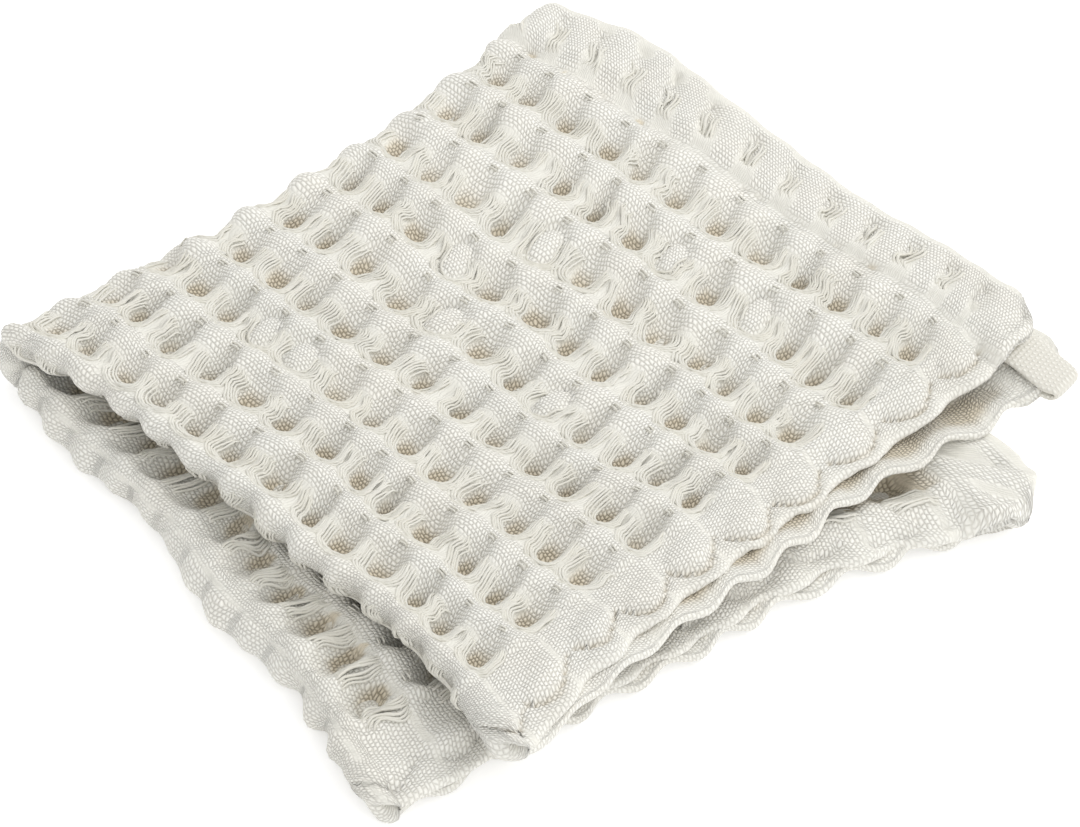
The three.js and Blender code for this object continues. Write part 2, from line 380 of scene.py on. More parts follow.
# A cell, from a column line, 0, to the next towards the hem, 1: heights of the ridge between two rows and of
# the hollow's floor, and half the hollow's width in rows.
cellTable = {
    "at": [0, 0.06, 0.13, 0.3, 0.5, 0.68, 0.82, 0.93, 1],
    "ridge": [1, 1, 0.95, 1, 1.7, 2.6, 2.7, 1.9, 1],
    "floor": [0.7, -1.4, -3, -3.2, -1.8, 0.1, 1.2, 1.3, 0.7],
    "width": [0.1, 0.165, 0.21, 0.23, 0.205, 0.155, 0.12, 0.1, 0.1],
}

waffle = {
    "sharpness": 2.1,  # how square the hollow's section is
    "softSide": 0.45,  # extra width of the slope under a puff
    "ridgeUneven": 0.45,
    "floorUneven": 0.9,
    "widthUneven": 0.36,
    "driftUneven": 0.11,
    "crown": 0.8,  # fall from a ridge's middle to a hollow
    "crumple": (0.16, 0.5),  # soft dents, everywhere and on the lower pair's first fold
    "hiddenShare": 0.35,  # relief where another layer presses
    "foldShare": 0.85,  # relief on the first fold
    "foldColumn": 9.6,
    "foldPuff": 0.75,  # puffs of plain weave next to the first fold
    "eyeDepth": 0.9,
    "eyeOdds": 0.25,  # bundles whose number is past this part round a dark eye
    "eyeAt": 0.3,  # place of an eye in the cell, and its length and width
    "eyeLong": 0.13,
    "eyeWide": 0.055,
    "pillowOdds": 0.97,  # cells whose number is past this are closed
    "ovalAt": 0.36,  # place and half sizes of a closed cell's oval
    "ovalLong": 0.3,
    "ovalWide": 0.27,
}

# Cells of the top face whose hollow has closed up into a pillow, by column and row.
closedCells = {"column": [-2, -4, -5, -5, -7, -3, -2, -7], "row": [7, 4, 5, 8, 3, 5, 9, 4]}

# The cloth's own thickness. Yarns crowd at a selvedge, and the first fold's ends close up.
clothThick = {"face": 1.1, "selvedge": 2.3, "foldEnd": 5.4, "hem": 4}

hemBand = {
    "pillow": 1.7,
    "crest": 1.5,  # the smooth step at the hem line
    "groove": 1.5,
    "grooveAt": 0.38,
    "grooveWide": 0.06,
    "outerRound": 3,
    "rimHeight": 1.3,
    "out": 1.6,  # past the straight edge
    "wave": 0.3,  # in and out, once in each row
}

selvedge = {
    "sag": {1: 1.9, 2: -0.3, 3: 1.3, 4: 0},  # drop of each layer's edge
    "sagWidth": 9,
    "scallop": 1,  # in and out, once in each column
    "ripple": 0.7,  # up and down
    "pillowHeight": 1.2,
    "pillowLevel": 0.35,
    "crease": 1.3,  # round a pillow
    "pillowAt": 0.72,
    "pillowFromEdge": 5.8,
    "pillowSize": (0.46, 3.5),
    "seedRow": 30,
    "legLength": 140,
}

# The folded cloth's corners and folds, in mm.
bends = {
    "hemRadius": 5,  # of the hem's corners at the selvedges
    "plump": 2.4,  # extra thickness of the lower inner hem's corner
    "foldRadius": 7,  # of the first fold's corners at the selvedges
    "foldDepth": 4.5,
    "foldSwell": 1.5,  # of the outer layers' second fold
    "edgeSwell": (1.8, 2.7),  # of the first fold, of the upper pair and of the lower
    "pocket": (0.7, -1),  # by the inner layers' selvedge, in the upper pair and the lower
}


# What a place lies next to: its cell, its shares p and q of that, the nearest ridge, and the distance of the
# edges in mm. "low" is 1 in the lower pair, "outer" on the outer layers, "turned" on the first fold and
# "bare" off the hem.
def spotAt(along, across):
    along, across = np.broadcast_arrays(along, across)
    column, row, hem = latticeAt(along, across)
    cell, line, ridge = np.floor(-column), np.floor(row), np.floor(row + 0.5)
    face, upper = faceShare(across), along > -0.5
    foldLine, edge, rows, foldStart, foldEnd, lowerEdge = rowKnots(face, lerp(*faceEdges(along), face))
    lowerBand = (lattice["lowerRows"] - lowerEdge) / (foldEnd - lowerEdge) * selvedge["legLength"]
    return SimpleNamespace(
        along=along, across=across, face=face, upper=upper, low=smooth(-0.6, -0.9, along),
        outer=smooth(0.7, 0.3, -across), turned=np.sin(pi * clamp(-across)),
        column=column, row=row, cell=cell, line=line, ridge=ridge,
        p=-column - cell, q=row - line - 0.5, fromRidge=row - ridge,
        inRows=(row < lattice["upperRows"]) & (row > lattice["lowerRows"]),
        hem=hem, bare=smooth(0.06, -0.05, hem), fromHem=(1 - face) * acrossSpan,
        fromEdge=np.where(upper, (1 - along) * (edge - foldLine), (2 + along) * selvedge["legLength"]),
        bandWide=np.where(upper, edge - lineValue(rows, lattice["upperRows"] - 0.5), lowerBand))


# How much relief a place has: all where it shows, less where it is pressed.
def reliefShare(at):
    hidden = waffle["hiddenShare"]
    strip = np.maximum(smooth(0.28, 0.17, at.face), smooth(0.7, 0.8, clamp(-1 - at.along)))
    low = smooth(0.3, 0.9, -at.along)
    outer = lerp(1, lerp(1, hidden, strip), low)
    inner = lerp(hidden, lerp(hidden, 1, strip), low)
    onFold = hump(at.column - waffle["foldColumn"], 0.42)
    return lerp(outer, inner, smooth(0.25, 0.85, -at.across)) * (1 - (1 - waffle["foldShare"]) * onFold)


def hasEye(cell, ridge):
    return cellNumber("eye", cell, ridge) > waffle["eyeOdds"]


def uneven(key, cell, line):
    return waffle[f"{key}Uneven"] * cellNumber(key, cell, line)


# Each hollow is a well, ridge + (floor - ridge) * exp(-(|q| / width)^sharpness), and a closed cell a low dome
# in an oval crease.
def cellShape(at):
    p, q, cell, line = at.p, at.q, at.cell, at.line
    window = np.sin(pi * p)
    ridge = readTable(cellTable, "ridge", p) + uneven("ridge", cell, at.ridge) * window**2
    crowned = ridge - waffle["crown"] * (at.fromRidge / 0.3) ** 2 * smooth(0, 0.15, p)
    eye = hump(at.fromRidge, waffle["eyeWide"]) * hump(p - waffle["eyeAt"], waffle["eyeLong"])
    ridge = np.maximum(crowned, ridge - waffle["crown"]) - waffle["eyeDepth"] * hasEye(cell, at.ridge) * eye
    floor = readTable(cellTable, "floor", p) + uneven("floor", cell, line) * window
    width = readTable(cellTable, "width", p) * (1 + uneven("width", cell, line) * window)
    away = q - uneven("drift", cell, line) * window * (1 - 4 * q * q)
    width = width * np.where(away < 0, 1 + waffle["softSide"] * smooth(0.3, 0.6, p), 1)
    well = np.exp(-(np.abs(away) / width) ** waffle["sharpness"]) * smooth(0.5, 0.4, np.abs(q))

    # next to the first fold: no hollows, but low puffs of plain weave on the ridges
    onFold, pastFold = cell == foldCell, cell == foldCell - 1
    filled = onFold * (0.5 + 0.5 * at.low)
    well = well * at.inRows * (1 - filled) * (1 - pastFold * smooth(0.6, 0.74, p))
    puff = waffle["foldPuff"] * lerp(0.7, 1.7, at.low) * (1 + 0.5 * cellNumber("puff", cell, at.ridge))
    ridge = ridge + onFold * window * (puff * np.cos(2 * pi * at.fromRidge) - 0.3)

    closed = cellNumber("closed", cell, line) > waffle["pillowOdds"]
    for closedColumn, closedRow in zip(closedCells["column"], closedCells["row"]):
        closed = closed | (cell == closedColumn) & (line == closedRow)
    closed = closed & at.inRows
    oval = np.sqrt(((p - waffle["ovalAt"]) / waffle["ovalLong"]) ** 2 + (q / waffle["ovalWide"]) ** 2)
    rim = hump(oval - 1.08, 0.16) * (0.65 - 0.35 * np.sign(q))
    dome = 0.4 + 1.2 * np.sqrt(clamp(1 - oval**2)) - 0.8 * rim
    height = ridge + (floor - ridge) * well
    height = np.where(closed, lerp(dome, height, smooth(1.1, 1.4, oval)), height)

    # yarns across a row are spread by the length over the hollow, not by the row's own width
    depth = (ridge - floor) * at.inRows * ~closed * at.bare
    crossed = lattice["rowPitch"] * np.abs(q) + 0.8 * depth * (1 - well)
    yarnRow = line + 0.5 + np.sign(q) * crossed / (lattice["rowPitch"] + 1.6 * depth)

    # where long strands lie over the weave: on the ridge between two hollows
    floats = smooth(0.56, 0.46, p) * smooth(0.26, 0.2, np.abs(at.fromRidge)) * at.inRows
    floats = floats * (1 - closed * (oval < 1.1)) * (1 - filled) * (1 - pastFold * at.low)
    # painted shade: darkest in each hollow's deep end, fading towards its shallow end, none in closed cells
    # or off the hem
    paintedShade = smooth(0.1, 0.9, well) * ~closed * at.bare * smooth(0.6, 0.2, p)
    return height, paintedShade, floats, yarnRow


# The hem band: slanting plain pillows with a groove beside each bundle, then a smooth round edge.
def hemShape(at):
    pillow = 1 - clamp(np.abs(2.1 * at.fromRidge - 1.05 * np.sign(at.fromRidge))) ** 2.4
    winding = 0.1 * np.sin(2.4 * at.hem * pi)
    groove = hump(at.q - hemBand["grooveAt"] - winding, hemBand["grooveWide"])
    groove = groove * (0.65 + 0.6 * cellNumber("groove", 0 * at.cell, at.line))
    inside = smooth(0.22, 0.4, at.hem) * smooth(1.5, 4, at.fromHem)
    height = hemBand["crest"] + inside * (hemBand["pillow"] * (pillow - 0.85) - hemBand["groove"] * groove)
    return lerp(hemBand["rimHeight"], height, smooth(0, hemBand["outerRound"], at.fromHem))


# The selvedge band: eye-shaped pillows of plain weave in a crease, one in each column.
def bandShape(at):
    middle = np.minimum(selvedge["pillowFromEdge"], at.bandWide * 0.5)
    sizeP, sizeE = selvedge["pillowSize"]
    nearPillow = np.floor(-at.column - selvedge["pillowAt"] + 0.5)
    pick = lambda key: cellNumber(key, nearPillow, selvedge["seedRow"] + 0 * at.line)
    p = np.mod(at.p - selvedge["pillowAt"] + 0.5, 1) - 0.5 - 0.06 * pick("pillow")
    sizeE = np.minimum(sizeE, at.bandWide * 0.36) * (1 + 0.15 * pick("size"))
    e = (at.fromEdge - middle - 0.8 * pick("tone")) / sizeE
    lens = np.abs(e) + (p / sizeP) ** 2
    crease = hump(lens - 1.08, 0.2) * (0.55 - 0.45 * np.sign(e))
    dome = selvedge["pillowHeight"] * (1 + 0.4 * pick("height")) * clamp(1 - lens) ** 0.6
    innerRim = (0.5 + 1.2 * smooth(0.5, 0.65, at.face)) * hump(at.bandWide - at.fromEdge - 1.2, 1.6)
    return selvedge["pillowLevel"] + dome - selvedge["crease"] * crease + innerRim, crease


# How far the edges move along and across: scallops, bulges and round corners. Places u and v in a square
# become u sqrt(1 - v^2 / 2) and v sqrt(1 - u^2 / 2) in a quarter circle.
def edgeShift(at, swing):
    radius, tipRadius = bends["hemRadius"], bends["foldRadius"]
    inFold = smooth(-1.4, -1.1, at.across) * smooth(0.15, -0.05, at.across)
    out = selvedge["scallop"] * (swing - 0.2) * smooth(7, 0, at.fromEdge)
    out = out * (0.4 + 0.6 * at.bare) * (1 - 0.8 * inFold)
    place = clamp(at.along)
    bulge = hemBand["out"] * smooth(0.02, 0.12, place) * smooth(0.92, 0.75, place) * smooth(-1, 0.5, at.hem)
    bulge = bulge + hemBand["wave"] * np.cos(2 * pi * (at.row - 0.5)) * smooth(6, 0, at.fromHem)
    u, v = clamp(1 - at.fromEdge / radius), clamp(1 - at.fromHem / radius)
    out = out - radius * u * (1 - np.sqrt(1 - v**2 / 2))
    bulge = bulge - radius * v * (1 - np.sqrt(1 - u**2 / 2))
    fromTip = bends["foldDepth"] * (1 - at.turned) + at.face * acrossSpan
    tip = 1 - clamp(fromTip / tipRadius)
    out = out - tipRadius * (1 - np.sqrt(1 - tip**2)) * 0.85 * smooth(22, 0, at.fromEdge)
    out, bulge = np.where(at.upper, out, -out), np.where(at.across > -0.5, bulge, -bulge)
    return out / selvedge["legLength"], bulge / acrossSpan


# The weave at a place: its height out of the doubled cloth, its thickness, how it is moved, and the fields
# that its material needs.
def weaveAt(along, across):
    at = spotAt(along, across)
    share, outer, bare = reliefShare(at), at.outer, at.bare
    height, paintedShade, floats, yarnRow = cellShape(at)
    height = lerp(hemShape(at), height, bare)
    band, crease = bandShape(at)
    inBand = smooth(-0.8, 1, at.bandWide - at.fromEdge)
    height = lerp(height, band, inBand * (0.2 + 0.8 * bare))
    crumple = lerp(*waffle["crumple"], at.low * smooth(0.3, 0.2, at.face) * (1 - outer * (at.face > 0)))
    height = height * share + crumple * unevenness(at.column * 1.35, at.row, 3, 5.5) * (0.5 + 0.5 * bare)

    # the edge hangs down to the layer below, rippling once in each column
    sag, atEdge = selvedge["sag"], smooth(selvedge["sagWidth"], 0.5, at.fromEdge) * bare
    drop = np.where(at.upper, lerp(sag[2], sag[1], outer), lerp(sag[3], sag[4], outer))
    swing = np.cos(2 * pi * (at.p - selvedge["pillowAt"])) * (2 * outer - 1)
    height = height + (selvedge["ripple"] * swing - drop) * atEdge
    shiftAlong, shiftAcross = edgeShift(at, swing)

    # both folds swell out, the lower inner hem's corner is plump, and the inner layers have pockets
    onSecond = np.sin(pi * clamp(-at.along)) ** 0.8 * smooth(0.02, 0.25, at.face) * smooth(1, 0.9, at.face)
    onFirst = at.turned * (1 + 0.4 * unevenness(at.row * 0.9, 0.1 * at.column, 7, 1))
    plump = bends["plump"] * (1 - outer) * smooth(0.84, 0.93, at.face)
    plump = plump * smooth(0.8, 0.93, clamp(-1 - at.along))
    first, last = np.where(at.upper, 1, 8), np.where(at.upper, 9, 20)
    pocket = smooth(0, 2, at.fromEdge - first) * smooth(2, -2, at.fromEdge - last) * (1 - outer)
    pocket = pocket * (0.75 + 0.25 * swing) * bare * smooth(0.15, 0.3, at.face)
    height = height + bends["foldSwell"] * onSecond * outer + lerp(*bends["edgeSwell"], at.low) * onFirst
    height = height + plump + np.where(at.upper, *bends["pocket"]) * pocket

    thick = lerp(clothThick["selvedge"], clothThick["face"], smooth(2, 9, at.fromEdge))
    thick = lerp(thick, clothThick["foldEnd"], at.turned ** 0.5 * smooth(11, 3, at.fromEdge))
    thick = lerp(thick, clothThick["hem"], smooth(-0.1, 0.1, at.hem)) + plump

    crest = np.maximum(smooth(0.07, 0.01, at.p), smooth(0.98, 1, at.p))
    crest = crest * bare * (0.25 + 0.75 * smooth(0.5, 0.3, np.abs(at.q)))
    rim = 0.25 * inBand * bare * smooth(1.6, 0.6, at.fromEdge)
    smoothHem = (1 - bare) * np.maximum(0.7 * smooth(0.1, 0.02, at.hem), smooth(1, 0.4, at.fromHem))
    # how strong the painted shade is: uneven from cell to cell, and stronger on the lower pair, which lies in
    # the upper pair's shade
    tone = 1 + 0.3 * cellNumber("tone", at.cell, at.line) + 0.3 * at.low
    # the painted shade field: in the hollows, in the inner layers' pockets and along the selvedge pillows'
    # creases
    return {
        "height": height, "thick": thick, "share": share,
        "column": at.column, "yarnRow": yarnRow, "hem": at.hem,
        "paintedShade": np.maximum(paintedShade * share * tone, pocket + 0.6 * crease * inBand * bare * outer),
        "strand": clamp(np.maximum.reduce([crest, floats, rim, smoothHem])),
        "shiftAlong": shiftAlong, "shiftAcross": shiftAcross,
    }


def linked(name, data):
    thing = bpy.data.objects.new(name, data)
    bpy.context.scene.collection.objects.link(thing)
    return thing


# A mesh object from whole arrays: points in metres, blocks of faces, a yarn map by corner, numbers by point.
def makePiece(name, points, faces, material, yarnMap=None, attributes=None):
    mesh = bpy.data.meshes.new(name)
    mesh.from_pydata(points, [], [row for block in faces for row in block.tolist()])
    if yarnMap is not None:
        layer = mesh.uv_layers.new(name="yarn")
        layer.data.foreach_set("uv", np.ascontiguousarray(yarnMap, dtype=np.float32).ravel())
    for label, values in (attributes or {}).items():
        field = mesh.attributes.new(label, "FLOAT", "POINT")
        field.data.foreach_set("value", values.astype(np.float32).ravel())
    mesh.polygons.foreach_set("use_smooth", np.ones(len(mesh.polygons), bool))
    mesh.materials.append(material)
    mesh.update()
    print(name, sum(len(block) * (block.shape[1] - 2) for block in faces), "triangles")
    return linked(name, mesh)


# A socket's value in a shader. Its operators add Math nodes.
class Wire:
    def __init__(self, finish, socket):
        self.finish, self.socket = finish, socket

    def maths(self, operation, first, second=0):
        return self.finish.add("ShaderNodeMath", {"operation": operation}, {0: first, 1: second})

    def __add__(self, other): return self.maths("ADD", self, other)
    def __radd__(self, other): return self.maths("ADD", other, self)
    def __sub__(self, other): return self.maths("SUBTRACT", self, other)
    def __rsub__(self, other): return self.maths("SUBTRACT", other, self)
    def __mul__(self, other): return self.maths("MULTIPLY", self, other)
    def __rmul__(self, other): return self.maths("MULTIPLY", other, self)
    def __truediv__(self, other): return self.maths("DIVIDE", self, other)
    def __rtruediv__(self, other): return self.maths("DIVIDE", other, self)
    def __pow__(self, other): return self.maths("POWER", self, other)
    def __rpow__(self, other): return self.maths("POWER", other, self)
    def __abs__(self): return self.maths("ABSOLUTE", self)
    def floor(self): return self.maths("FLOOR", self)

    # sin(pi times the value)
    def wave(self): return self.maths("SINE", self * pi)

    # The soft step from 0 at start to 1 at end.
    def step(self, start, end):
        sockets = {"Value": self, "From Min": start, "From Max": end}
        return self.finish.add("ShaderNodeMapRange", {"interpolation_type": "SMOOTHSTEP"}, sockets)


# A material being put together: one Principled shader, its steady values, and what varies.
class Finish:
    def __init__(self, name, steady):
        self.material = bpy.data.materials.new(name)
        self.material.use_nodes = True
        self.nodes, self.links = self.material.node_tree.nodes, self.material.node_tree.links
        self.shader = self.nodes["Principled BSDF"]
        for label, value in steady.items():
            self.shader.inputs[label].default_value = value

    # Any node: its type, its settings first, then the values or links of its sockets.
    def add(self, kind, settings=None, sockets=None, output=0):
        node = self.nodes.new(kind)
        for label, value in (settings or {}).items():
            setattr(node, label, value)
        for label, value in (sockets or {}).items():
            if isinstance(value, Wire):
                self.links.new(value.socket, node.inputs[label])
            else:
                node.inputs[label].default_value = value
        return Wire(self, node.outputs[output])

    # Object coordinates, and the two numbers of the yarn map together and apart.
    def places(self):
        place = self.add("ShaderNodeTexCoord", None, None, "Object")
        yarn = self.add("ShaderNodeUVMap", {"uv_map": "yarn"})
        parts = [self.add("ShaderNodeSeparateXYZ", None, {"Vector": yarn}, axis) for axis in ("X", "Y")]
        return [place, yarn, *parts]

    def attribute(self, name):
        return self.add("ShaderNodeAttribute", {"attribute_name": name}, None, "Fac")

    # Two colours mixed. The Mix node's sockets go by number, because their names repeat.
    def tint(self, share, first, second):
        settings = {"data_type": "RGBA", "clamp_factor": True}
        return self.add("ShaderNodeMix", settings, {0: share, 6: first, 7: second}, 2)

    def noise(self, vector, scale, detail):
        return self.add("ShaderNodeTexNoise", None, {"Vector": vector, "Scale": scale, "Detail": detail})

    # Gives the piece its colour, and its relief over that of its fibres, with heights in metres.
    def coat(self, colour, relief, height, strength, fibre, fibreHeight=0.00004):
        sockets = {"Height": fibre, "Distance": fibreHeight, "Strength": 0.6}
        fibres = self.add("ShaderNodeBump", None, sockets)
        sockets = {"Height": relief, "Distance": height, "Strength": strength, "Normal": fibres}
        self.links.new(self.add("ShaderNodeBump", None, sockets).socket, self.shader.inputs["Normal"])
        self.links.new(colour.socket, self.shader.inputs["Base Color"])
        return self.material


cottonLook = {
    "steady": {"Roughness": 0.92, "Specular IOR Level": 0.25, "Sheen Weight": 0.2, "Sheen Roughness": 0.5},
    "top": (0.88, 0.87, 0.815, 1),
    "warm": (0.88, 0.86, 0.795, 1),
    "float": (0.76, 0.745, 0.68, 1),  # strands that the surface only shows
    "paintedGapShade": (0.43, 0.40, 0.33, 1),  # painted shade between the yarns
    "paintedHollowShade": (0.73, 0.66, 0.53, 1),  # painted shade at the bottom of a hollow
    # painted shade between the yarns in a hollow
    "paintedHollowGapShade": (0.22, 0.18, 0.115, 1),
    "beadHeight": 0.00028,
    "beadsPerColumn": 18,
    "beadsPerRow": 13,
    "stray": 1.2,  # how far the yarns wander, in beads
}


# Plain weave: domes |sin(pi u) sin(pi (v + floor(u) / 2))| laid like bricks, with painted shade between them,
# darkest in a hollow, and painted shade over each hollow. Where "strand" is 1 long strands lie side by side,
# |sin(1.8 pi v)|, with faint painted shade between them.
def cottonCloth():
    finish = Finish("cotton waffle cloth", cottonLook["steady"])
    place, yarn, u, v = finish.places()
    stray = (finish.noise(yarn, 0.45, 1) - 0.5) * cottonLook["stray"]
    u, v = u + stray, v - stray
    dome = abs(u.wave()) * abs((v + u.floor() * 0.5).wave())
    line = abs((v * 1.8).wave()) ** 0.6
    # depth: how much painted shade a place gets, from its shade field
    strand, depth = finish.attribute("strand"), finish.attribute("paintedShade").step(0.05, 0.9)
    relief = dome ** 0.7 * (1 - strand) + line * strand * 0.35
    base = finish.tint(finish.noise(place, 55, 2).step(0.35, 0.7), cottonLook["top"], cottonLook["warm"])
    base = finish.tint(depth, finish.tint(strand, base, cottonLook["float"]), cottonLook["paintedHollowShade"])
    # painted shade between the beads, stronger in a hollow, and faint painted shade between strands
    gapShade = (1 - dome.step(-0.05, 0.75)) * (1 - strand) * (depth * 0.28 + 0.43)
    gapShade = gapShade + (1 - line.step(0.1, 0.8)) * strand * 0.06
    colour = finish.tint(gapShade, base, finish.tint(depth, cottonLook["paintedGapShade"], cottonLook["paintedHollowGapShade"]))
    return finish.coat(colour, relief, cottonLook["beadHeight"], 1, finish.noise(place, 5200, 3))


yarnLook = {
    "steady": {"Roughness": 0.85, "Specular IOR Level": 0.3, "Sheen Weight": 0.3, "Sheen Roughness": 0.45},
    "light": (0.75, 0.735, 0.67, 1),
    "warm": (0.73, 0.71, 0.635, 1),
    # painted shade in the grooves between plies
    "groove": (0.66, 0.62, 0.54, 1),
    "plyPitch": 1.5,  # length of a ply's turn, in mm
    "plyHeight": 0.00007,
}


# A twisted yarn: diagonal ply lines |sin(pi (u / pitch + 2 v))| from its yarn map, mm along and turns round,
# with painted shade in the grooves between them.
def cottonYarn():
    finish = Finish("cotton float yarn", yarnLook["steady"])
    place, yarn, u, v = finish.places()
    fibre = finish.noise(place, 4200, 3)
    ply = abs((u / yarnLook["plyPitch"] + v * 2 + fibre * 0.35).wave())
    tone = finish.tint(finish.noise(place, 140, 1).step(0.3, 0.75), yarnLook["light"], yarnLook["warm"])
    # painted shade where the ply relief is low
    colour = finish.tint((1 - ply.step(0, 0.5)) * 0.12, tone, yarnLook["groove"])
    return finish.coat(colour, ply, yarnLook["plyHeight"], 0.8, fibre)


print("finishes")
clothFinish = cottonCloth()
yarnFinish = cottonYarn()

# The cloth's mesh: how many lines of the grid there are up to each signed place.
clothMesh = {
    "along": ([0, 32, 90, 114, 258], [-2, -1.72, -1, 0, 1]),
    "across": ([0, 78, 104, 118, 284], [-2, -1.22, -1, 0, 1]),
    "rimAngles": [25, 50, 75, 90, 105, 130, 155],
    "rimRound": 0.5,
    "hemSlot": 1.3,  # depth of the slot between the hem's two plies at the selvedge
    "rimBead": (1.1, 1),  # a bead's length round the hems' and the selvedges' rim, in mm
}


# Closed sheet: a fine outer skin, an inner one with every second line of the grid, and a rounded rim, whose
# last row is stitched to the inner skin two to one.
def makeCloth():
    lines = [np.interp(np.arange(counts[-1] + 1), counts, places)
             for counts, places in (clothMesh["along"], clothMesh["across"])]
    along, across = np.meshgrid(*lines, indexing="ij")
    weave = weaveAt(along, across)
    outer, inner = [
        np.moveaxis(sheetPoint(along + weave["shiftAlong"], across + weave["shiftAcross"], height), 0, 2)
        for height in (weave["height"], weave["height"] - weave["thick"])]
    numbers = np.arange(along.size).reshape(along.shape)
    coarse = np.arange(along[::2, ::2].size).reshape(along[::2, ::2].shape) + along.size
    skins = along.size + coarse.size

    def quadsOf(grid):
        return np.stack([grid[:-1, :-1], grid[1:, :-1], grid[1:, 1:], grid[:-1, 1:]], axis=-1).reshape(-1, 4)

    # the grid's edge, all round, or the lines a few steps inside it
    def border(grid, step=0):
        far = -1 - step
        return np.concatenate([grid[step, :-1], grid[:-1, far], grid[far, :0:-1], grid[:0:-1, step]])

    # rim rows: from the outer skin's edge round to the inner skin's
    points = [outer.reshape(-1, 3), inner[::2, ::2].reshape(-1, 3)]
    faces = [quadsOf(numbers), np.roll(quadsOf(coarse)[:, ::-1], 1, axis=1)]
    edgeOuter, edgeInner, ring = border(outer), border(inner), border(numbers)
    outward = edgeOuter - border(outer, 2)
    outward = outward / np.linalg.norm(outward, axis=1)[:, None]
    thick = np.linalg.norm(edgeOuter - edgeInner, axis=1)
    atSelvedge = border(np.abs(along + 0.5)) > 1.49
    slot = clothMesh["hemSlot"] * smooth(0, 0.12, border(weave["hem"])) * atSelvedge
    loops = [ring]
    for number, degrees in enumerate(clothMesh["rimAngles"]):
        angle = radians(degrees)
        bulge = thick * clothMesh["rimRound"] * sin(angle) - slot * (degrees == 90)
        points.append(lerp(edgeOuter, edgeInner, (1 - cos(angle)) / 2) + outward * bulge[:, None])
        loops.append(skins + number * ring.size + np.arange(ring.size))
    for upper, lower in zip(loops[:-1], loops[1:]):
        faces.append(np.stack([upper, np.roll(upper, -1), np.roll(lower, -1), lower], axis=-1))
    innerRing, last = border(coarse), loops[-1]
    faces.append(np.stack([last, np.roll(last, -1), np.repeat(innerRing, 2)], axis=-1))
    faces.append(np.stack([innerRing, np.roll(last, -2)[::2], np.roll(innerRing, -1)], axis=-1))

    # a field's numbers for every point: the outer skin, the inner one and the rim
    def onAll(field):
        onRim = np.tile(border(field), len(loops) - 1)
        return np.concatenate([field.ravel(), field[::2, ::2].ravel(), onRim])

    # bead numbers. Round the rim they run on across the edge.
    uv = [onAll(weave["column"] * -cottonLook["beadsPerColumn"]),
          onAll(weave["yarnRow"] * cottonLook["beadsPerRow"])]
    for axis, chosen in enumerate((~atSelvedge, atSelvedge)):
        runs = [border(weave["thick"]) * degrees / 180 * chosen for degrees in clothMesh["rimAngles"]]
        uv[axis][skins:] += np.concatenate(runs) / clothMesh["rimBead"][axis]
    corners = np.concatenate([block.ravel() for block in faces])
    shades = {label: onAll(weave[label]) for label in ("paintedShade", "strand")}
    placed = toPart(np.concatenate(points).T)
    return makePiece("waffle_cloth", placed, faces, clothFinish, np.stack(uv, axis=-1)[corners], shades)


cloth = makeCloth()


# Faces of tubes whose points are numbered by strand, step and side: their walls, and one at either end.
def tubeFaces(*shape):
    number = np.arange(np.prod(shape)).reshape(shape)
    a, b = number[:, :-1], number[:, 1:]
    walls = np.stack([a, b, np.roll(b, -1, axis=2), np.roll(a, -1, axis=2)], axis=-1).reshape(-1, 4)
    return walls, np.concatenate([number[:, 0], number[:, -1, ::-1]])


# Tubes along many paths at once, in arrays of axes, strands and steps. A ring is centre + radius (cos side +
# sin up).
def tubes(centres, outs, radius, sides=4):
    strands, steps = radius.shape
    tangent = np.gradient(centres, axis=2)
    tangent = tangent / np.linalg.norm(tangent, axis=0)
    side = np.cross(tangent, outs, axis=0)
    side = side / np.linalg.norm(side, axis=0)
    up = np.cross(side, tangent, axis=0)
    angle = 2 * pi * np.arange(sides) / sides
    ring = side[..., None] * np.cos(angle) + up[..., None] * np.sin(angle)
    points = centres[..., None] + radius[None, ..., None] * ring
    walls, ends = tubeFaces(strands, steps, sides)

    # the yarn map: mm along each strand from a start of its own, and turns round it
    run = np.cumsum(np.linalg.norm(np.diff(centres, axis=2, prepend=centres[:, :, :1]), axis=0), axis=1)
    run = (run + (np.arange(strands) * 0.37 % 3)[:, None])[..., None]
    turn, nextTurn = [(np.arange(sides) + more) / sides for more in (0, 1)]
    corners = [(run[:, :-1], turn), (run[:, 1:], turn), (run[:, 1:], nextTurn), (run[:, :-1], nextTurn)]
    yarnMap = np.stack([np.stack(np.broadcast_arrays(*corner), axis=-1) for corner in corners], axis=3)
    yarnMap = np.concatenate([yarnMap.reshape(-1, 2), np.zeros((ends.size, 2))])
    return points.reshape(3, -1), np.concatenate([walls, ends]), yarnMap


# Sets of tubes joined into one piece.
def strandPiece(name, *sets):
    points, faces, yarnMaps = zip(*sets)
    starts = np.cumsum([0] + [part.shape[1] for part in points[:-1]])
    faces = np.concatenate([block + start for block, start in zip(faces, starts)])
    placed = toPart(np.concatenate(points, axis=1))
    return makePiece(name, placed, [faces], yarnFinish, np.concatenate(yarnMaps))


